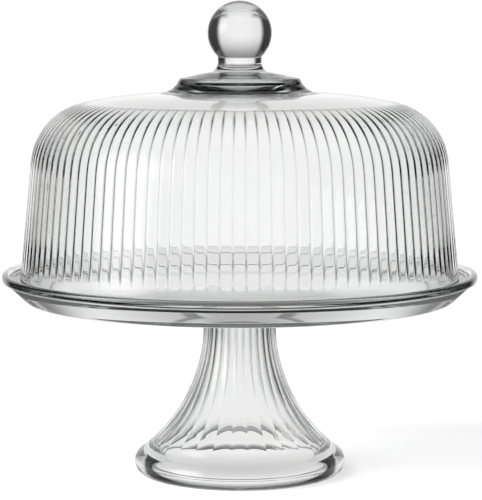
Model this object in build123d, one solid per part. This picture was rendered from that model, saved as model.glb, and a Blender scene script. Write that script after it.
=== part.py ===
"""Glass cake stand with a ribbed dome.

A footed plate carries a lift-off dome. Each of these two loose pieces is made
of two glass parts, pressed separately and fused while hot: plate and pedestal,
dome_shell and knob. Millimetres, +Z up, origin on the table at the centre of
the foot, everything round the Z axis.
"""

from build123d import *
import os
from math import acos, asin, atan2, cos, pi, radians, sin, sqrt, tan

# ---- Driving dimensions ---------------------------------------------------
PLATE_RADIUS = 165.0        # over the rim
SEAT_HEIGHT = 137.9         # ledge that the dome stands on, above the table
RIM_RISE = 3.7              # rim crest above the ledge
WELL_RADIUS = 131.0         # flat floor for the cake
WELL_DROP = 7.1             # well floor below the ledge
PLATE_GLASS = 7.5           # thickness of the plate at its heel
RIM_BEAD = 4.9              # height of the bead along the rim

FOOT_RADIUS = 73.7          # over the foot bead
FOOT_BEAD = 9.2             # radius of the bead's round section
FOOT_FLAT = 0.4             # ground off the bead, so that it stands on a flat ring
NECK_RADIUS = 25.1          # pedestal just under the plate
FLARE_RADIUS = 112.0        # arc of the pedestal's outline
FLARE_TOP = 105.8           # the arc is upright at this height
PEDESTAL_GLASS = 4.5        # wall of the pedestal
HOLLOW_BEND = 20.0          # arc of the hollow between its mouth and the flare
FLUTES = 30
FLUTE_DEPTH = 0.5
FLUTE_FADE = 20.0           # the flutes fade out over this height above the bead

DOME_GLASS = 4.0            # wall of the dome
LIP_RADIUS = 152.7          # over the dome's lip
LIP_BAND = 8.0              # height of the smooth band above the lip
LIP_FLARE = 1.1             # the band narrows by this much upwards
WALL_DRAFT = radians(5.45)  # the wall leans in
WALL_TOP = 219.2            # the shoulder arc starts here, above the table
SHOULDER_RADIUS = 45.0
CROWN_START = radians(78.2)  # the shoulder arc turns into the crown arc at this angle
CROWN_RADIUS = 317.0
COVE_RADIUS = 15.0          # arc between the crown and the side of the collar
COVE_REACH = 55.6           # centre of that arc from the axis
CROWN_HEIGHT = 129.4        # lip to the plane where the knob is fused on
DOME_RIBS = 112
RIB_DEPTH = 0.8
SEAT_GAP = 0.02             # the dome stands on the ledge without cutting into it

BALL_RADIUS = 22.3
BALL_TOP = 61.7             # top of the ball above the fused plane
BALL_NECK = 15.3            # neck radius where it meets the ball
COLLAR_RIM = 8.3            # height of the collar's upper edge
COLLAR_TOP = (18.0, 13.3)   # radius and height where its sloping top meets the neck
NECK_WAIST = (15.1, 18.8)   # narrowest part of the neck
EDGE_ROUND = 1.2

# ---- Worked-out dimensions ------------------------------------------------
WELL_TOP = SEAT_HEIGHT - WELL_DROP
HEEL = WELL_TOP - PLATE_GLASS           # underside at the plate's outer heel
PLATE_BOTTOM = HEEL - 3.5               # underside in the middle, fused to the pedestal
RIM_TOP = SEAT_HEIGHT + RIM_RISE
DOME_FLOOR = SEAT_HEIGHT + SEAT_GAP
RIBS_START = DOME_FLOOR + LIP_BAND
FUSED_TOP = DOME_FLOOR + CROWN_HEIGHT   # plane between dome shell and knob


def turned(outline):
    """A solid turned round Z from a closed outline in the XZ plane."""
    return revolve(make_face(outline), Axis.Z)


def profile(points, radii):
    """Closed outline through (radius, height) corners, rounded by the radii."""
    corners = [(radius, 0, height) for radius, height in points]
    return FilletPolyline(*corners, radius=radii, close=True).edges()


def on_outline(radius, height):
    """The point of an outline at this radius and height."""
    return (radius, 0, height)


def on_circle(centre, radius, angle):
    """Radius and height of a point on a circle in the outline plane."""
    return centre[0] + radius * cos(angle), centre[1] + radius * sin(angle)


def arc(centre, radius, start, end):
    """Part of a circle in the outline plane, from the start angle to the end angle."""
    angles = (start, (start + end) / 2, end)
    return ThreePointArc(*[on_outline(*on_circle(centre, radius, angle)) for angle in angles])


def arched_ring(corner, middle, height, count):
    """Level ring of equal arcs. They meet at the corner radius and pass the middle radius between,
    with the middle of one arc at the front."""
    def at(distance, step):
        angle = 2 * pi * step / count - pi / 2
        return (distance * cos(angle), distance * sin(angle), height)

    return Wire([
        Edge.make_three_point_arc(at(corner, k - 0.5), at(middle, k), at(corner, k + 0.5))
        for k in range(count)
    ])


# ---- Plate ----------------------------------------------------------------
def plate():
    """Round plate: flat well, ledge for the dome, raised rim and sloping heel."""
    corners = [
        (0, PLATE_BOTTOM),
        (PLATE_RADIUS - 17.5, HEEL),
        (PLATE_RADIUS - 2.2, RIM_TOP - RIM_BEAD - 1.1),
        (PLATE_RADIUS, RIM_TOP - RIM_BEAD),
        (PLATE_RADIUS, RIM_TOP),
        (PLATE_RADIUS - RIM_BEAD, RIM_TOP),
        (PLATE_RADIUS - RIM_BEAD - 2.0, SEAT_HEIGHT),
        (WELL_RADIUS + 13.0, SEAT_HEIGHT),
        (WELL_RADIUS, WELL_TOP),
        (0, WELL_TOP),
    ]
    rounds = [0, 8.0, 1.0, 2.2, 2.2, 2.2, 1.0, 3.0, 5.0, 0]
    return turned(profile(corners, rounds))


# ---- Pedestal -------------------------------------------------------------
FLARE = (NECK_RADIUS + FLARE_RADIUS, FLARE_TOP)     # centre of the flare's arc
BEAD = (FOOT_RADIUS - FOOT_BEAD, FOOT_BEAD - FOOT_FLAT)


def flare(height):
    """Radius of the pedestal's outline at this height."""
    rise = max(FLARE_TOP - height, 0.0)
    return FLARE[0] - sqrt(FLARE_RADIUS ** 2 - rise ** 2)


def pedestal_hollow():
    """The space inside the pedestal, open at the foot and closed by the plate at the top."""
    below = -1
    above = PLATE_BOTTOM + 1
    mouth = FOOT_RADIUS - 1.3 * FOOT_BEAD
    neck = NECK_RADIUS - PEDESTAL_GLASS
    inner_flare = FLARE_RADIUS + PEDESTAL_GLASS
    # The bend touches both the upright mouth and the flare.
    reach = mouth - HOLLOW_BEND
    bend = (reach, FLARE_TOP - sqrt((inner_flare + HOLLOW_BEND) ** 2 - (FLARE[0] - reach) ** 2))
    touch = atan2(FLARE[1] - bend[1], FLARE[0] - bend[0])
    return turned([
        Line(on_outline(0, below), on_outline(mouth, below)),
        Line(on_outline(mouth, below), on_outline(mouth, bend[1])),
        arc(bend, HOLLOW_BEND, 0, touch),
        arc(FLARE, inner_flare, pi + touch, pi),
        Line(on_outline(neck, FLARE_TOP), on_outline(neck, above)),
        Line(on_outline(neck, above), on_outline(0, above)),
        Line(on_outline(0, above), on_outline(0, below)),
    ])


def pedestal():
    """Hollow stem with concave flutes that flares out to a round foot bead."""
    # The bead and the flare touch at this angle of the bead.
    join = atan2(FLARE[1] - BEAD[1], FLARE[0] - BEAD[0])
    base = on_circle(BEAD, FOOT_BEAD, join)[1]
    sections = []
    for share in (0, 0.04, 0.1, 0.19, 0.34, 0.52, 0.7, 0.88, 1):
        height = base + (PLATE_BOTTOM - base) * share
        depth = FLUTE_DEPTH * min((height - base) / FLUTE_FADE, 1.0)
        sections.append(arched_ring(flare(height), flare(height) - depth, height, FLUTES))
    bead = Pos(0, 0, BEAD[1]) * Torus(BEAD[0], FOOT_BEAD)
    core = Pos(0, 0, base / 2) * Cylinder(BEAD[0], base)
    table = Pos(0, 0, -5) * Cylinder(2 * FOOT_RADIUS, 10)
    return Solid.make_loft(sections) + (bead + core) - table - pedestal_hollow()


# ---- Dome -----------------------------------------------------------------
def wall_radius(height):
    """Radius of the dome's straight wall over the rib crests."""
    return LIP_RADIUS - LIP_FLARE - tan(WALL_DRAFT) * (height - RIBS_START)


SHOULDER = (
    wall_radius(WALL_TOP) - SHOULDER_RADIUS * cos(WALL_DRAFT),
    WALL_TOP - SHOULDER_RADIUS * sin(WALL_DRAFT),
)
CROWN = on_circle(SHOULDER, SHOULDER_RADIUS - CROWN_RADIUS, CROWN_START)
COVE_START = acos((COVE_REACH - CROWN[0]) / (CROWN_RADIUS + COVE_RADIUS))   # the cove touches the crown
COVE = on_circle(CROWN, CROWN_RADIUS + COVE_RADIUS, COVE_START)


def cove_angle(height):
    """Angle on the cove's circle where its inner side is at this height."""
    return pi - asin((height - COVE[1]) / COVE_RADIUS)


def ribbed_wall():
    """Solid drum with the ribs, from the lip band to where they fade on the crown."""
    sections = [(wall_radius(RIBS_START), RIBS_START, 0)]
    for height in (RIBS_START + 5, (RIBS_START + WALL_TOP) / 2, WALL_TOP):
        sections.append((wall_radius(height), height, RIB_DEPTH))
    for share, depth in ((0.2, 1), (0.4, 1), (0.6, 1), (0.8, 0.8), (0.9, 0.3), (1, 0)):
        angle = WALL_DRAFT + share * (CROWN_START - WALL_DRAFT)
        radius, height = on_circle(SHOULDER, SHOULDER_RADIUS, angle)
        sections.append((radius, height, RIB_DEPTH * depth / cos(angle)))
    return Solid.make_loft([
        arched_ring(radius - depth, radius, height, DOME_RIBS) for radius, height, depth in sections
    ])


def dome_hollow():
    """The space under the dome: the outside moved inwards and down by the glass."""
    below = DOME_FLOOR - 1
    shoulder = (SHOULDER[0] - DOME_GLASS, SHOULDER[1] - DOME_GLASS)
    crown = (CROWN[0] - DOME_GLASS, CROWN[1] - DOME_GLASS)
    start = on_circle(shoulder, SHOULDER_RADIUS, WALL_DRAFT)
    foot = start[0] + tan(WALL_DRAFT) * (start[1] - below)
    peak = crown[1] + CROWN_RADIUS
    return turned([
        Line(on_outline(0, below), on_outline(foot, below)),
        Line(on_outline(foot, below), on_outline(*start)),
        arc(shoulder, SHOULDER_RADIUS, WALL_DRAFT, CROWN_START),
        arc(crown, CROWN_RADIUS, CROWN_START, pi / 2),
        Line(on_outline(crown[0], peak), on_outline(0, peak)),
        Line(on_outline(0, peak), on_outline(0, below)),
    ])


def dome_shell():
    """Bell-shaped cover with ribs outside and a smooth inside."""
    wall = wall_radius(RIBS_START)
    lip = turned(profile(
        [(0, DOME_FLOOR), (LIP_RADIUS, DOME_FLOOR), (wall, RIBS_START), (0, RIBS_START)], 0))
    ribs_end = on_circle(SHOULDER, SHOULDER_RADIUS, CROWN_START)
    collar_base = on_circle(COVE, COVE_RADIUS, cove_angle(FUSED_TOP))
    crown = turned([
        Line(on_outline(0, ribs_end[1]), on_outline(*ribs_end)),
        arc(CROWN, CROWN_RADIUS, CROWN_START, COVE_START),
        arc(COVE, COVE_RADIUS, pi + COVE_START, cove_angle(FUSED_TOP)),
        Line(on_outline(*collar_base), on_outline(0, FUSED_TOP)),
        Line(on_outline(0, FUSED_TOP), on_outline(0, ribs_end[1])),
    ])
    shell = lip + ribbed_wall() + crown - dome_hollow()
    lip_edges = shell.edges().filter_by_position(Axis.Z, DOME_FLOOR - 0.01, DOME_FLOOR + 0.01)
    return fillet(lip_edges, EDGE_ROUND)


# ---- Knob -----------------------------------------------------------------
def knob():
    """Ball handle on a short waisted neck and a round collar with a coved side."""
    def above(point):
        return on_outline(point[0], FUSED_TOP + point[1])

    ball_centre = BALL_TOP - BALL_RADIUS
    ball_bottom = ball_centre - sqrt(BALL_RADIUS ** 2 - BALL_NECK ** 2)
    base_angle = cove_angle(FUSED_TOP)
    rim_angle = cove_angle(FUSED_TOP + COLLAR_RIM)
    collar_base = on_circle(COVE, COVE_RADIUS, base_angle)
    collar_rim = on_circle(COVE, COVE_RADIUS, rim_angle)
    solid = turned([
        Line(above((0, 0)), on_outline(*collar_base)),
        arc(COVE, COVE_RADIUS, base_angle, rim_angle),
        Line(on_outline(*collar_rim), above(COLLAR_TOP)),
        ThreePointArc(above(COLLAR_TOP), above(NECK_WAIST), above((BALL_NECK, ball_bottom))),
        ThreePointArc(
            above((BALL_NECK, ball_bottom)),
            above((BALL_RADIUS, ball_centre)),
            above((0, BALL_TOP)),
        ),
        Line(above((0, BALL_TOP)), above((0, 0))),
    ])
    rim = solid.edges().filter_by_position(
        Axis.Z, FUSED_TOP + COLLAR_RIM - 0.01, FUSED_TOP + COLLAR_RIM + 0.01)
    return fillet(rim, EDGE_ROUND)


os.makedirs("parts", exist_ok=True)
NODES = {"plate": plate, "pedestal": pedestal, "dome_shell": dome_shell, "knob": knob}
for name, build in NODES.items():
    export_step(build(), f"parts/{name}.step")
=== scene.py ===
"""Looks for the glass cake stand: four finely turned glass pieces, a pale floor and a bright studio.

Lengths are metres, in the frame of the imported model: +Z up, the origin on the table under the foot.
Outlines are lists of (radius, height) points in a plane through the axis.
"""

from math import acos, asin, atan2, cos, hypot, pi, radians, sin, sqrt, tan

import bpy
import numpy as np
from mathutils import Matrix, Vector


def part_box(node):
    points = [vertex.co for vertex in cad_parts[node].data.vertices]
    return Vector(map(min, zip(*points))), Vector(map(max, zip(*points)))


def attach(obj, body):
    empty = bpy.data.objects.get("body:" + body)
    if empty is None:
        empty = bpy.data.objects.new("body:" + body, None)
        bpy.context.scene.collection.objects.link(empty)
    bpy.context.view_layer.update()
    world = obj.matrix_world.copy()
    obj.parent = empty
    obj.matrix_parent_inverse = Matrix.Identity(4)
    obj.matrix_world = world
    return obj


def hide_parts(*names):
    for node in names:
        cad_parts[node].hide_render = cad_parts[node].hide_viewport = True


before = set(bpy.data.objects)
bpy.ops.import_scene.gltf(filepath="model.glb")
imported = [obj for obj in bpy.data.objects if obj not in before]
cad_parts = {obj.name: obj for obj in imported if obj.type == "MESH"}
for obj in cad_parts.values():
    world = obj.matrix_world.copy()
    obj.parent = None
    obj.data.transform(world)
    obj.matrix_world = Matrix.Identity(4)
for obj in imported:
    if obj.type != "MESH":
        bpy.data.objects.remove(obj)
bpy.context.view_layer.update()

# ---- Driving sizes, read from the frame -------------------------------------
MM = 0.001
DOME_LOW, DOME_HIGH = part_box("dome_shell")
KNOB_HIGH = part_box("knob")[1]
PLATE_LOW, PLATE_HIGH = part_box("plate")
PEDESTAL_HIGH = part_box("pedestal")[1]

PLATE_RADIUS = PLATE_HIGH.x
RIM_TOP = PLATE_HIGH.z
PLATE_BOTTOM = PLATE_LOW.z
FOOT_RADIUS = PEDESTAL_HIGH.x
LIP_BOTTOM = DOME_LOW.z
LIP_RADIUS = DOME_HIGH.x
FUSED_TOP = DOME_HIGH.z
KNOB_TOP = KNOB_HIGH.z
FUSED_GAP = 0.05 * MM       # between two solids that are fused in the real object

# ---- Dome ---------------------------------------------------------------------
DOME_GLASS = 4.0 * MM
DOME_RIBS = 112
RIB_DEPTH = 0.8 * MM
RIB_SHARPNESS = 6.0         # the higher, the flatter the rib and the narrower its grooves
RIB_FADE_STEPS = 12         # the grooves fade in over these steps of the shoulder
RIB_ENDS = 4 * MM           # and fade out over this height above the lip band
LIP_BAND = 8.0 * MM
LIP_FLARE = 1.1 * MM
LIP_ROUND = 1.5 * MM
WALL_DRAFT = radians(5.45)
WALL_TOP = LIP_BOTTOM + 81.3 * MM
SHOULDER_RADIUS = 45.0 * MM
CROWN_START = radians(78.2)
CROWN_RADIUS = 317 * MM
SOFTENING = 16              # passes that ease the joints of wall, shoulder and crown

# ---- Knob ---------------------------------------------------------------------
COVE_RADIUS = 15 * MM
COVE_REACH = 55.6 * MM      # centre of the cove from the axis
COLLAR_RIM = FUSED_TOP + 8.3 * MM
COLLAR_ROUND = 1.2 * MM
COLLAR_TOP = (18.0 * MM, FUSED_TOP + 13.3 * MM, 4.0 * MM)
NECK_WAIST = (15.0 * MM, FUSED_TOP + 17.5 * MM, 5.0 * MM)
RIDGES = 4                  # soft ridges round the side of the collar
RIDGE_HEIGHT = 0.3 * MM
BALL_RADIUS = 22.3 * MM
BALL_NECK = 15.3 * MM

# ---- Plate --------------------------------------------------------------------
SEAT = LIP_BOTTOM - 0.02 * MM
SEAT_ROUND = 1 * MM
LEDGE_INSIDE = 144 * MM
LEDGE_ROUND = 3 * MM
WELL = SEAT - 7.1 * MM
WELL_RADIUS = 131 * MM
WELL_ROUND = 5 * MM
PLATE_GLASS = 8.8 * MM
HEEL_INSET = 17.5 * MM      # the heel is this far inside the rim
HEEL_ROUND = 8 * MM
RIM_BEAD = (5 * MM, 4.9 * MM)
RIM_ROUND = 2.2 * MM
RIM_SLOPE = 2 * MM
RIM_STEP = (3 * MM, 1.3 * MM, 3 * MM)

# ---- Pedestal -----------------------------------------------------------------
NECK_RADIUS = 25.1 * MM
FLARE_RADIUS = 112.0 * MM
FLARE_TOP = PLATE_BOTTOM - 14 * MM
FLUTES = 30
FLUTE_DEPTH = 0.75 * MM
FLUTE_FADE = 45 * MM        # the flutes fade out over this height above the foot
FOOT_BEAD = 9.2 * MM
FOOT_FLAT = 0.4 * MM        # taken off the bead's underside, so that it stands flat
PEDESTAL_GLASS = 4.5 * MM
HOLLOW_MOUTH = FOOT_RADIUS - 1.3 * FOOT_BEAD
HOLLOW_BEND = 2 * FOOT_BEAD
HOLLOW_ROUND = 20 * MM
HOLLOW_FLARE = HOLLOW_BEND + 12 * MM

# ---- Fineness of the meshes: steps of an outline, longest step, points round the axis ----
COVE_STEPS = 16
CROWN_STEPS = 36
SHOULDER_STEPS = 40
WALL_STEPS = 48
INSIDE_CROWN_STEPS = 120
INSIDE_TOP_STEPS = 8
LIP_STEP = 2 * MM
RIB_POINTS = 16
COLLAR_STEPS = 32
COLLAR_ROUND_STEPS = 10
COLLAR_STEP = 1 * MM
BALL_STEPS = 80
KNOB_POINTS = 256
PLATE_STEP = 6 * MM
PLATE_POINTS = 384
STEM_STEPS = 60
BEAD_STEPS = 30
HOLLOW_ROUND_STEPS = 16
HOLLOW_STEPS = 50
FLUTE_POINTS = 20

# ---- Look of the glass ----------------------------------------------------------
GLASS_IOR = 1.5
WAVE_HEIGHT = 0.03 * MM
WAVE_FINENESS = 35.0
TINT_FINENESS = 12.0
GLASS_TINTS = ((0.99, 0.995, 0.995, 1), (1.0, 0.997, 0.995, 1))
GLOSS_FINENESS = 60.0
GLOSS_EDGE = (0.45, 0.75)   # where in the noise the glass goes from its clearest to its dullest
DULLEST = 0.01
GLASS_SHADOW = (0.93, 0.93, 0.93, 1)
BODY_TINT = (0.0, 0.03, 0.02, 1)
BODY_DENSITY = 3.2

# ---- Floor: its size, and the painted light and shade that the glass sees on it ---
FLOOR_RADIUS = 0.9
FLOOR_SIDES = 128
FLOOR_DROP = 0.1 * MM       # the floor is this far under the foot
FLOOR_FADE = (0.6 * FLOOR_RADIUS, FLOOR_RADIUS)
FLOOR_COLOUR = (0.93, 0.93, 0.93, 1)
# The glass sees the floor as a painted glow: FLOOR_LEVEL in the middle, with painted shade down to about
# FLOOR_FRONT at the front and sides.
FLOOR_DEPTH = (-0.16, 0.04)  # from the dark front of the floor to its bright part, along the view
FLOOR_SIDE = (0.15, 0.27)    # from the bright part to the dark sides
FLOOR_LEVEL = 0.95
FLOOR_FRONT = 0.2
# Painted contact shadow: a ring of the floor under the edge of the foot, which the glass sees darker.
CONTACT_RADIUS = FOOT_RADIUS - 1.1 * MM
CONTACT_EDGE = (2 * MM, 7 * MM)
CONTACT_SHADOW_LEVEL = 0.45

# ---- Studio light: edges are sines or cosines of the direction seen --------------
BACKDROP_LEVEL = 1.08
FALLOFF = 0.6
RIGHT_EDGE = (0.42, 0.58)
LEFT_EDGE = (0.46, 0.62)
FLAG_LEVEL = 0.05
SIDE_EDGE = (0.95, 0.98)
SIDE_LEVEL = 0.1
TOP_EDGE = (0.0, 0.6)
TOP_LEVEL = 0.28
ROOM_EDGE = (-0.4, 0.2)
ROOM_LEVEL = 0.3
SOFTBOX = (-0.87, 0.26, -0.42)
SOFTBOX_EDGE = (0.9, 1.0)
SOFTBOX_LEVEL = 3.0
KEY_PLACE = (-1.2, -0.6, 1.8)
KEY_AIM = (0, 0, 0.1)
KEY_SIZE = 1.2
KEY_POWER = 104

# ---- Camera -----------------------------------------------------------------------
CAMERA_DISTANCE = 1.660
CAMERA_HEIGHT = KNOB_TOP + 9.88 * MM
CAMERA_DIP = radians(6.28)
CAMERA_PAN = -0.9 * MM / CAMERA_DISTANCE
CAMERA_LENS = 172.8


# ---- Outlines ---------------------------------------------------------------------
def spread(start, end, steps):
    """Evenly spaced numbers from start to end, ends included."""
    return [start + (end - start) * k / steps for k in range(steps + 1)]


def line(start, end, steps):
    """Evenly spaced points from start to end, ends included."""
    return list(zip(spread(start[0], end[0], steps), spread(start[1], end[1], steps)))


def on_circle(centre, radius, angle):
    """The point of a circle at this angle above the horizontal."""
    return (centre[0] + radius * cos(angle), centre[1] + radius * sin(angle))


def arc(centre, radius, start, end, steps):
    """Points on an arc from the start angle to the end angle, ends included."""
    return [on_circle(centre, radius, angle) for angle in spread(start, end, steps)]


def rounded(corners, steps=8):
    """Open outline through (radius, height, round) corners, each rounded by a tangent arc."""
    points = []
    for k, (radius, height, size) in enumerate(corners):
        if size == 0:
            points.append((radius, height))
            continue
        here = Vector((radius, height))
        back = (Vector(corners[k - 1][:2]) - here).normalized()
        ahead = (Vector(corners[k + 1][:2]) - here).normalized()
        half = back.angle(ahead) / 2
        centre = here + (back + ahead).normalized() * size / sin(half)
        first = here + back * size / tan(half) - centre
        last = here + ahead * size / tan(half) - centre
        start = atan2(first.y, first.x)
        turn = (atan2(last.y, last.x) - start + pi) % (2 * pi) - pi
        points += arc(centre, size, start, start + turn, steps)
    return points


def spaced(points, longest):
    """The same outline with extra points, so that no step is much longer than this."""
    result = [points[0]]
    for start, end in zip(points, points[1:]):
        gap = hypot(end[0] - start[0], end[1] - start[1])
        if gap > 1e-7:
            result += line(start, end, max(1, round(gap / longest)))[1:]
    return result


def plain(points):
    """Rings without grooves."""
    return [(radius, height, 0.0) for radius, height in points]


def eased(rings, passes):
    """The same rings with their joints softened, by evening out each ring with its neighbours."""
    rings = np.array(rings)
    for _ in range(passes):
        rings[1:-1] = (rings[:-2] + rings[1:-1] + rings[2:]) / 3
    return rings.tolist()


# ---- Meshes -----------------------------------------------------------------------
def square_to_outline(radius, height, loop):
    """The outward direction, square to an outline, at each of its points."""
    if loop:
        along = [np.roll(row, -1, axis=0) - np.roll(row, 1, axis=0) for row in (radius, height)]
    else:
        along = [np.gradient(row, axis=0) for row in (radius, height)]
    length = np.hypot(*along)
    return along[1] / length, -along[0] / length


def lathe(name, rings, around, lobes=1, groove=None):
    """A closed mesh turned round Z. Rings are (radius, height, depth). They run from pole to pole, up the
    outside, or round in a loop when the first ring is off the axis. Depth is how far the grooves between
    the lobes go in, square to the outline; groove says how much of it applies across a lobe, from -1 to 1."""
    radius, height, depth = np.array(rings).T
    loop = radius[0] > 0
    inner = slice(None) if loop else slice(1, -1)
    out, up = square_to_outline(radius, height, loop)
    across = np.sin(pi / 2 * np.linspace(-1, 1, around // lobes, endpoint=False))
    turn = np.concatenate([(lobe + across / 2) * 2 * pi / lobes - pi / 2 for lobe in range(lobes)])
    share = np.tile(groove(across), lobes) if groove else np.zeros(around)
    reach = radius[:, None] - (depth * out)[:, None] * share
    level = height[:, None] - (depth * up)[:, None] * share
    out, up = square_to_outline(reach, level, loop)
    even = np.stack([out * np.cos(turn), out * np.sin(turn), up], axis=-1)[inner].reshape(-1, 3)
    points = np.stack([reach * np.cos(turn), reach * np.sin(turn), level], axis=-1)[inner].reshape(-1, 3)

    here = np.arange(around)
    after = (here + 1) % around
    low = np.arange(len(rings) if loop else len(rings) - 3)[:, None] * around
    high = (low + around) % len(points)
    quads = np.stack([low + here, low + after, high + after, high + here], axis=-1)
    faces = quads.reshape(-1, 4).tolist()
    if not loop:
        start, end = len(points), len(points) + 1
        top = start - around
        faces += np.stack([np.full(around, start), after, here], axis=-1).tolist()
        faces += np.stack([top + here, top + after, np.full(around, end)], axis=-1).tolist()
        points = np.concatenate([points, [[0, 0, height[0]], [0, 0, height[-1]]]])
        even = np.concatenate([even, [[0, 0, up[0, 0]], [0, 0, up[-1, 0]]]])

    mesh = bpy.data.meshes.new(name)
    mesh.from_pydata(points, [], faces)
    mesh.polygons.foreach_set("use_smooth", [True] * len(faces))
    mesh.update()
    # The slope along the outline alone, without the sides of the grooves.
    mesh.attributes.new("even_normal", "FLOAT_VECTOR", "POINT").data.foreach_set("vector", even.ravel())
    piece = bpy.data.objects.new(name, mesh)
    bpy.context.scene.collection.objects.link(piece)
    return piece


# ---- Shader nodes -----------------------------------------------------------------
class Graph:
    """Short names for the nodes that the shaders share."""

    def __init__(self, tree):
        self.nodes = tree.nodes
        self.link = tree.links.new
        self.nodes.clear()

    def add(self, kind, **settings):
        """A new node with these settings."""
        node = self.nodes.new(kind)
        for key, value in settings.items():
            setattr(node, key, value)
        return node

    def feed(self, socket, value):
        """Gives a socket a value, or links it to another node's output."""
        if isinstance(value, (int, float, tuple)):
            socket.default_value = value
        else:
            self.link(value, socket)

    def math(self, operation, first, second=0.0):
        """The result of a sum on one or two values."""
        node = self.add("ShaderNodeMath", operation=operation)
        self.feed(node.inputs[0], first)
        self.feed(node.inputs[1], second)
        return node.outputs[0]

    def step(self, value, low, high, start=0.0, end=1.0, shape="SMOOTHSTEP"):
        """A step from start to end as value goes from low to high, smooth unless shape says otherwise."""
        node = self.add("ShaderNodeMapRange", interpolation_type=shape)
        for socket, item in zip(node.inputs, (value, low, high, start, end)):
            self.feed(socket, item)
        return node.outputs[0]

    def parts(self, vector):
        """The X, Y and Z of a vector."""
        node = self.add("ShaderNodeSeparateXYZ")
        self.feed(node.inputs[0], vector)
        return node.outputs

    def noise(self, place, fineness):
        """Soft noise from 0 to 1, with about this many changes in a metre."""
        node = self.add("ShaderNodeTexNoise")
        self.feed(node.inputs["Vector"], place)
        self.feed(node.inputs["Scale"], fineness)
        return node.outputs[0]

    def blend(self, share, first, second):
        """A shader that goes from the first to the second as share goes from 0 to 1."""
        node = self.add("ShaderNodeMixShader")
        for socket, item in zip(node.inputs, (share, first, second)):
            self.feed(socket, item)
        return node.outputs[0]


# ---- Materials --------------------------------------------------------------------
def slope(graph, path, calm):
    """The direction that the glass faces. Calm says how much of the grooves is left out where the glass
    is seen through other glass."""
    geometry = graph.add("ShaderNodeNewGeometry")
    even = graph.add("ShaderNodeAttribute", attribute_name="even_normal")
    facing = graph.add("ShaderNodeVectorMath", operation="SCALE")
    graph.feed(facing.inputs[0], even.outputs["Vector"])
    side = graph.step(geometry.outputs["Backfacing"], 0.0, 1.0, 1.0, -1.0, "LINEAR")
    graph.feed(facing.inputs["Scale"], side)
    normal = graph.add("ShaderNodeMix", data_type="VECTOR")
    beyond = graph.step(path.outputs["Transmission Depth"], 0.0, 1.0, 0.0, calm, "LINEAR")
    graph.feed(normal.inputs["Factor"], beyond)
    graph.feed(normal.inputs[4], geometry.outputs["Normal"])
    graph.feed(normal.inputs[5], facing.outputs["Vector"])
    return normal.outputs[1]


def clear_glass(name, calm):
    """Colourless pressed glass. Pressing leaves it faintly wavy, with slight changes of gloss and tint."""
    material = bpy.data.materials.new(name)
    material.use_nodes = True
    graph = Graph(material.node_tree)
    path = graph.add("ShaderNodeLightPath")
    place = graph.add("ShaderNodeTexCoord").outputs["Object"]

    wavy = graph.add("ShaderNodeBump")
    graph.feed(wavy.inputs["Strength"], 1.0)
    graph.feed(wavy.inputs["Distance"], WAVE_HEIGHT)
    graph.feed(wavy.inputs["Height"], graph.noise(place, WAVE_FINENESS))
    graph.feed(wavy.inputs["Normal"], slope(graph, path, calm))

    tint = graph.add("ShaderNodeMix", data_type="RGBA")
    graph.feed(tint.inputs["Factor"], graph.noise(place, TINT_FINENESS))
    graph.feed(tint.inputs[6], GLASS_TINTS[0])
    graph.feed(tint.inputs[7], GLASS_TINTS[1])
    dullness = graph.step(graph.noise(place, GLOSS_FINENESS), *GLOSS_EDGE, 0.0, DULLEST)
    glass = graph.add("ShaderNodeBsdfGlass")
    graph.feed(glass.inputs["IOR"], GLASS_IOR)
    graph.feed(glass.inputs["Color"], tint.outputs[2])
    graph.feed(glass.inputs["Roughness"], dullness)
    graph.feed(glass.inputs["Normal"], wavy.outputs["Normal"])

    shadow = graph.add("ShaderNodeBsdfTransparent")
    graph.feed(shadow.inputs["Color"], GLASS_SHADOW)
    surface = graph.blend(path.outputs["Is Shadow Ray"], glass.outputs["BSDF"], shadow.outputs["BSDF"])
    body = graph.add("ShaderNodeVolumeAbsorption")
    graph.feed(body.inputs["Color"], BODY_TINT)
    graph.feed(body.inputs["Density"], BODY_DENSITY)
    output = graph.add("ShaderNodeOutputMaterial")
    graph.feed(output.inputs["Surface"], surface)
    graph.feed(output.inputs["Volume"], body.outputs["Volume"])
    return material


GLASS = clear_glass("clear_pressed_glass", 0.0)
RIBBED_GLASS = clear_glass("clear_ribbed_glass", 1.0)


def finish_piece(piece, node, body, glass):
    """Gives a piece its glass and puts it in the place of its CAD node."""
    piece.data.materials.append(glass)
    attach(piece, body)
    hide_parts(node)


# ---- Dome -------------------------------------------------------------------------
WALL_START = LIP_RADIUS - LIP_FLARE
RIBS_START = LIP_BOTTOM + LIP_BAND
WALL_END = WALL_START - tan(WALL_DRAFT) * (WALL_TOP - RIBS_START)
SHOULDER = on_circle((WALL_END, WALL_TOP), -SHOULDER_RADIUS, WALL_DRAFT)
CROWN = on_circle(SHOULDER, SHOULDER_RADIUS - CROWN_RADIUS, CROWN_START)
COVE_ANGLE = acos((COVE_REACH - CROWN[0]) / (CROWN_RADIUS + COVE_RADIUS))
COVE = on_circle(CROWN, CROWN_RADIUS + COVE_RADIUS, COVE_ANGLE)
COVE_LOW = pi + COVE_ANGLE


def cove_angle(height):
    """Angle on the cove's circle of its inner side at this height."""
    return pi - asin((height - COVE[1]) / COVE_RADIUS)


def ridged_cove(start, end, steps):
    """The cove's outline between two of its angles, with the soft ridges that run round the collar."""
    whole = cove_angle(COLLAR_RIM) - COVE_LOW
    points = []
    for angle in spread(start, end, steps):
        ridge = RIDGE_HEIGHT * abs(sin(pi * RIDGES * (angle - COVE_LOW) / whole))
        points.append(on_circle(COVE, COVE_RADIUS - ridge, angle))
    return points


def rib(across):
    """A flat rib between two narrow grooves."""
    return np.abs(across) ** RIB_SHARPNESS


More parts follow.
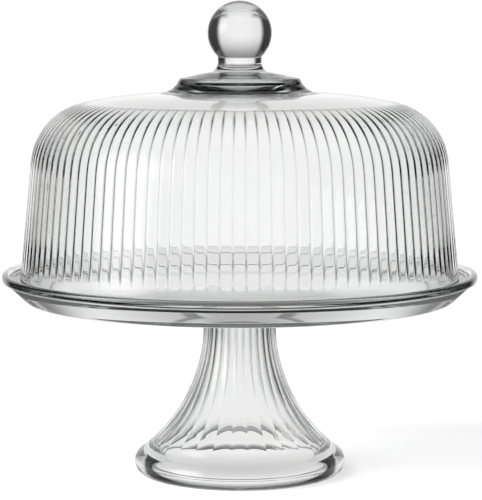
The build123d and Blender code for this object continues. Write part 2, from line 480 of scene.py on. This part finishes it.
def dome_outside():
    """Rings from the fused top down to the lip band, with the grooves between the ribs."""
    cove = ridged_cove(cove_angle(FUSED_TOP), COVE_LOW, COVE_STEPS)
    rings = plain([(0, FUSED_TOP), (cove[0][0] / 2, FUSED_TOP)] + cove)
    rings += plain(arc(CROWN, CROWN_RADIUS, COVE_ANGLE, CROWN_START, CROWN_STEPS)[1:-1])
    shoulder = arc(SHOULDER, SHOULDER_RADIUS, CROWN_START, WALL_DRAFT, SHOULDER_STEPS)
    ribbed = []
    for k, (radius, height) in enumerate(shoulder):
        fade = min(1.0, max(0, k - 1) / RIB_FADE_STEPS)
        ribbed.append((radius, height, RIB_DEPTH * fade * fade * (3 - 2 * fade)))
    for radius, height in line(shoulder[-1], (WALL_START, RIBS_START), WALL_STEPS)[1:]:
        ribbed.append((radius, height, RIB_DEPTH * min(1.0, (height - RIBS_START) / RIB_ENDS)))
    return rings + eased(ribbed, SOFTENING)


def dome_shell():
    """Bell-shaped cover. Its inside is the outside moved in and down by the thickness of the glass."""
    top = WALL_TOP - DOME_GLASS
    wall = WALL_END - DOME_GLASS
    band = wall + tan(WALL_DRAFT) * (top - RIBS_START)
    foot = wall + tan(WALL_DRAFT) * (top - LIP_BOTTOM)
    lip = rounded([
        (WALL_START, RIBS_START, 0),
        (LIP_RADIUS, LIP_BOTTOM, LIP_ROUND),
        (foot, LIP_BOTTOM, LIP_ROUND),
        (band, RIBS_START, 0),
    ])
    shoulder = (SHOULDER[0] - DOME_GLASS, SHOULDER[1] - DOME_GLASS)
    crown = (CROWN[0] - DOME_GLASS, CROWN[1] - DOME_GLASS)
    inside = line((band, RIBS_START), (wall, top), WALL_STEPS)[:-1]
    inside += arc(shoulder, SHOULDER_RADIUS, WALL_DRAFT, CROWN_START, SHOULDER_STEPS)
    inside += arc(crown, CROWN_RADIUS, CROWN_START, pi / 2, INSIDE_CROWN_STEPS)[1:]
    rings = dome_outside()
    rings += plain(spaced(lip, LIP_STEP)[1:-1])
    rings += plain(eased(inside, SOFTENING))
    rings += plain(line(inside[-1], (0, inside[-1][1]), INSIDE_TOP_STEPS)[1:])
    piece = lathe("dome_glass", rings[::-1], DOME_RIBS * RIB_POINTS, DOME_RIBS, rib)
    finish_piece(piece, "dome_shell", "dome", RIBBED_GLASS)


# ---- Knob -------------------------------------------------------------------------
def knob():
    """Ball handle on a short waisted neck and a round collar with a coved, softly ridged side."""
    centre = (0, KNOB_TOP - BALL_RADIUS)
    ball_start = -acos(BALL_NECK / BALL_RADIUS)
    base = FUSED_TOP + FUSED_GAP
    cove = ridged_cove(cove_angle(base), cove_angle(COLLAR_RIM), COLLAR_STEPS)
    collar = cove[:-2] + rounded([
        (*cove[-2], 0),
        (*cove[-1], COLLAR_ROUND),
        COLLAR_TOP,
        NECK_WAIST,
        (*on_circle(centre, BALL_RADIUS, ball_start), 0),
    ], COLLAR_ROUND_STEPS)
    outline = [(0, base), (cove[0][0] / 2, base)] + spaced(collar, COLLAR_STEP)
    outline += arc(centre, BALL_RADIUS, ball_start, pi / 2, BALL_STEPS)[1:]
    piece = lathe("knob_glass", plain(outline), KNOB_POINTS)
    finish_piece(piece, "knob", "dome", GLASS)


# ---- Plate ------------------------------------------------------------------------
def plate():
    """Round plate: flat well, ledge for the dome, beaded rim and sloping heel."""
    bead_width, bead_height = RIM_BEAD
    step_in, step_down, step_round = RIM_STEP
    bead_bottom = RIM_TOP - bead_height
    bead_inside = PLATE_RADIUS - bead_width
    outline = rounded([
        (0, PLATE_BOTTOM, 0),
        (NECK_RADIUS, PLATE_BOTTOM, 0),
        (PLATE_RADIUS - HEEL_INSET, WELL - PLATE_GLASS, HEEL_ROUND),
        (PLATE_RADIUS - step_in, bead_bottom - step_down, step_round),
        (PLATE_RADIUS, bead_bottom, RIM_ROUND),
        (PLATE_RADIUS, RIM_TOP, RIM_ROUND),
        (bead_inside, RIM_TOP, RIM_ROUND),
        (bead_inside - RIM_SLOPE, SEAT, SEAT_ROUND),
        (LEDGE_INSIDE, SEAT, LEDGE_ROUND),
        (WELL_RADIUS, WELL, WELL_ROUND),
        (0, WELL, 0),
    ])
    piece = lathe("plate_glass", plain(spaced(outline, PLATE_STEP)), PLATE_POINTS)
    finish_piece(piece, "plate", "stand", GLASS)


# ---- Pedestal ---------------------------------------------------------------------
FLARE = (NECK_RADIUS + FLARE_RADIUS, FLARE_TOP)
BEAD = (FOOT_RADIUS - FOOT_BEAD, FOOT_BEAD - FOOT_FLAT)
BEAD_JOIN = atan2(FLARE[1] - BEAD[1], FLARE[0] - BEAD[0])


def flare(height, inside=0.0):
    """Radius of the pedestal's outline at this height, or of the outline this far inside it."""
    rise = max(FLARE_TOP - height, 0.0)
    return FLARE[0] - sqrt((FLARE_RADIUS + inside) ** 2 - rise ** 2)


def flute(across):
    """A hollow flute between two sharp ridges."""
    return 1 - across ** 2


def pedestal():
    """Flared stem with hollow flutes and a round foot bead, hollow from the foot up to the plate."""
    top = PLATE_BOTTOM - FUSED_GAP
    join_height = on_circle(BEAD, FOOT_BEAD, BEAD_JOIN)[1]
    rings = []
    for height in spread(top, join_height, STEM_STEPS):
        depth = FLUTE_DEPTH * min(1.0, (height - join_height) / FLUTE_FADE)
        rings.append((flare(height), height, depth))
    rings += plain(arc(BEAD, FOOT_BEAD, BEAD_JOIN, -asin(BEAD[1] / FOOT_BEAD), BEAD_STEPS)[1:])
    rings += plain(rounded([
        (HOLLOW_MOUTH, 0, 0),
        (flare(HOLLOW_BEND, PEDESTAL_GLASS), HOLLOW_BEND, HOLLOW_ROUND),
        (flare(HOLLOW_FLARE, PEDESTAL_GLASS), HOLLOW_FLARE, 0),
    ], HOLLOW_ROUND_STEPS))
    for height in spread(HOLLOW_FLARE, top, HOLLOW_STEPS)[1:]:
        rings.append((flare(height, PEDESTAL_GLASS), height, 0.0))
    piece = lathe("pedestal_glass", rings[::-1], FLUTES * FLUTE_POINTS, FLUTES, flute)
    finish_piece(piece, "pedestal", "stand", GLASS)


# ---- Floor ------------------------------------------------------------------------
def floor():
    """A round white floor that fades into the white backdrop. The glass sees it as a painted glow, even in
    the middle, with painted shade towards the front and the sides and a painted contact shadow in a ring
    under the foot."""
    bpy.ops.mesh.primitive_circle_add(vertices=FLOOR_SIDES, radius=FLOOR_RADIUS, fill_type="NGON")
    disc = bpy.context.object
    disc.name = "studio_floor"
    disc.location.z = -FLOOR_DROP
    material = bpy.data.materials.new("pale_floor")
    material.use_nodes = True
    graph = Graph(material.node_tree)
    place = graph.add("ShaderNodeTexCoord").outputs["Object"]
    length = graph.add("ShaderNodeVectorMath", operation="LENGTH")
    graph.feed(length.inputs[0], place)
    reach = length.outputs["Value"]
    turned = graph.add("ShaderNodeVectorTransform", vector_type="VECTOR")
    turned.convert_from = "WORLD"
    turned.convert_to = "CAMERA"
    graph.feed(turned.inputs[0], place)
    seen = graph.parts(turned.outputs[0])

    # Painted shade: the glow that the glass sees is darker towards the front of the floor and towards its
    # sides.
    ahead = graph.step(seen["Z"], *FLOOR_DEPTH, FLOOR_FRONT, FLOOR_LEVEL)
    beside = graph.step(graph.math("ABSOLUTE", seen["X"]), *FLOOR_SIDE, 1.0, FLOOR_FRONT)
    # Painted contact shadow: the glow is darker in a ring round the edge of the foot.
    from_ring = graph.math("ABSOLUTE", graph.math("SUBTRACT", reach, CONTACT_RADIUS))
    contact_shadow = graph.step(from_ring, *CONTACT_EDGE, CONTACT_SHADOW_LEVEL, 1.0)
    shade = graph.math("MULTIPLY", graph.math("MULTIPLY", ahead, beside), contact_shadow)
    # The glass sees this painted glow in place of a lit floor. The camera sees the lit white floor.
    glow = graph.add("ShaderNodeEmission")
    graph.feed(glow.inputs["Strength"], shade)
    white = graph.add("ShaderNodeBsdfDiffuse")
    graph.feed(white.inputs["Color"], FLOOR_COLOUR)

    path = graph.add("ShaderNodeLightPath")
    surface = graph.blend(path.outputs["Is Camera Ray"], glow.outputs["Emission"], white.outputs["BSDF"])
    clear = graph.add("ShaderNodeBsdfTransparent")
    output = graph.add("ShaderNodeOutputMaterial")
    faded = graph.blend(graph.step(reach, *FLOOR_FADE), surface, clear.outputs["BSDF"])
    graph.feed(output.inputs["Surface"], faded)
    disc.data.materials.append(material)


# ---- Studio light -----------------------------------------------------------------
def studio():
    """White for the camera. For the glass, a bright backdrop between dark flags, darker towards the top,
    with a dim room behind the camera and a softbox on the left. It turns with the camera."""
    world = bpy.data.worlds.new("studio")
    bpy.context.scene.world = world
    world.use_nodes = True
    graph = Graph(world.node_tree)
    coords = graph.add("ShaderNodeTexCoord")
    seen = graph.parts(coords.outputs["Camera"])
    up = graph.parts(coords.outputs["Generated"])["Z"]
    # A little over 1, so that the root stays above zero straight up and down.
    flat = graph.math("SUBTRACT", 1.0001, graph.math("MULTIPLY", seen["Y"], seen["Y"]))
    across = graph.math("DIVIDE", seen["X"], graph.math("SQRT", flat))

    right = graph.step(across, *RIGHT_EDGE, 1.0, FLAG_LEVEL)
    left = graph.step(graph.math("MULTIPLY", across, -1.0), *LEFT_EDGE, 1.0, FLAG_LEVEL)
    backdrop = graph.math("MULTIPLY", right, left)
    falloff = graph.math("MULTIPLY", graph.math("MULTIPLY", across, across), FALLOFF)
    backdrop = graph.math("MULTIPLY", backdrop, graph.math("SUBTRACT", 1.0, falloff))
    backdrop = graph.math("MULTIPLY", backdrop, graph.step(up, *TOP_EDGE, 1.0, TOP_LEVEL))
    side = graph.step(graph.math("ABSOLUTE", across), *SIDE_EDGE, 0.0, SIDE_LEVEL)
    backdrop = graph.math("MAXIMUM", backdrop, side)
    room = graph.step(seen["Z"], *ROOM_EDGE, ROOM_LEVEL, 1.0)
    light = graph.math("MULTIPLY", graph.math("MULTIPLY", backdrop, room), BACKDROP_LEVEL)

    aim = graph.add("ShaderNodeVectorMath", operation="DOT_PRODUCT")
    graph.feed(aim.inputs[0], coords.outputs["Camera"])
    graph.feed(aim.inputs[1], SOFTBOX)
    softbox = graph.step(aim.outputs["Value"], *SOFTBOX_EDGE, 0.0, SOFTBOX_LEVEL)
    light = graph.math("ADD", light, softbox)
    path = graph.add("ShaderNodeLightPath")
    light = graph.math("MAXIMUM", light, path.outputs["Is Camera Ray"])
    background = graph.add("ShaderNodeBackground")
    graph.feed(background.inputs["Color"], light)
    output = graph.add("ShaderNodeOutputWorld")
    graph.feed(output.inputs["Surface"], background.outputs["Background"])


def key_light():
    """Soft light from the upper left, which gives the foot its shadow. The glass doesn't mirror it."""
    light = bpy.data.lights.new("key_light", "AREA")
    light.size = KEY_SIZE
    light.energy = KEY_POWER
    key = bpy.data.objects.new("key_light", light)
    key.visible_glossy = False
    key.visible_transmission = False
    key.location = KEY_PLACE
    key.rotation_euler = (Vector(KEY_AIM) - key.location).to_track_quat("-Z", "Y").to_euler()
    bpy.context.scene.collection.objects.link(key)


# ---- Camera -----------------------------------------------------------------------
def camera():
    """Long lens, a little above the knob, aimed so that the stand fills the picture."""
    data = bpy.data.cameras.new("camera")
    data.lens = CAMERA_LENS
    data.clip_end = 20
    cam = bpy.data.objects.new("camera", data)
    cam.location = (0, -CAMERA_DISTANCE, CAMERA_HEIGHT)
    cam.rotation_euler = (pi / 2 - CAMERA_DIP, 0, CAMERA_PAN)
    bpy.context.scene.collection.objects.link(cam)
    bpy.context.scene.camera = cam


def light_paths():
    """Enough bounces for light that passes through many layers of glass, and plain display colours."""
    scene = bpy.context.scene
    scene.view_settings.view_transform = "Standard"
    scene.cycles.max_bounces = 40
    scene.cycles.transmission_bounces = 40
    scene.cycles.glossy_bounces = 16
    scene.cycles.transparent_max_bounces = 32
    scene.cycles.caustics_reflective = False
    scene.cycles.caustics_refractive = False
    scene.cycles.use_denoising = True


dome_shell()
knob()
plate()
pedestal()
floor()
studio()
key_light()
camera()
light_paths()
